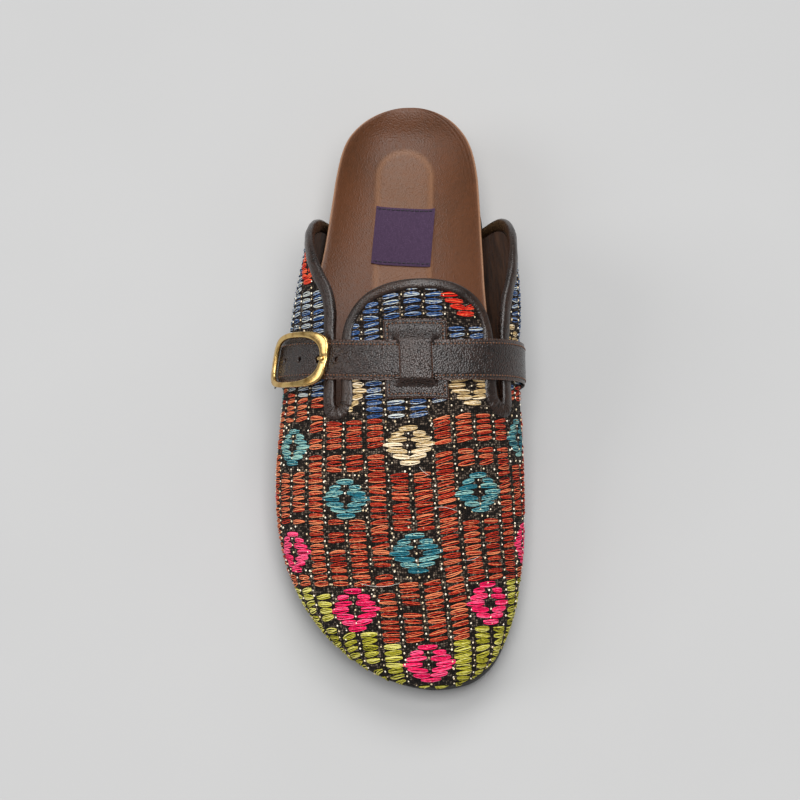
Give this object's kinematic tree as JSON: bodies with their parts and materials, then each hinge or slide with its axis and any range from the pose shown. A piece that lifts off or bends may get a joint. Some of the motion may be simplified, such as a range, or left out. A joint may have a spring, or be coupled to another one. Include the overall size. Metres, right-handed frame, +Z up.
{
  "type": "woven clog",
  "caption": "Right-foot closed-toe clog with a patterned woven upper, leather-bound open heel, strap with brass buckle, cork footbed and flat rubber sole.",
  "frame": {"origin": "on the flat underside of the sole, halfway along its length and on the heel's axis", "axes": "-Y towards the toe, +Y towards the heel, +X towards the inner side of the foot, +Z up"},
  "size_m": [0.1256, 0.3028, 0.0954],
  "materials": {
    "outsole_rubber": "matt black",
    "cork": "raw cork, matt",
    "insole_leather": "smooth brown, soft gloss",
    "woven_cloth": "hand-woven wool with raised bars",
    "dark_leather": "dark brown, fine grain",
    "buckle_brass": "polished",
    "label_cloth": "plain purple weave"
  },
  "bodies": {
    "root": {"outsole": "outsole_rubber", "cork_footbed": "cork", "insole": "insole_leather", "upper": "woven_cloth", "binding": "dark_leather", "strap": "dark_leather", "buckle_tab": "dark_leather", "keeper": "dark_leather", "buckle_frame": "buckle_brass", "buckle_prong": "buckle_brass", "label": "label_cloth"}
  },
  "joints": []
}
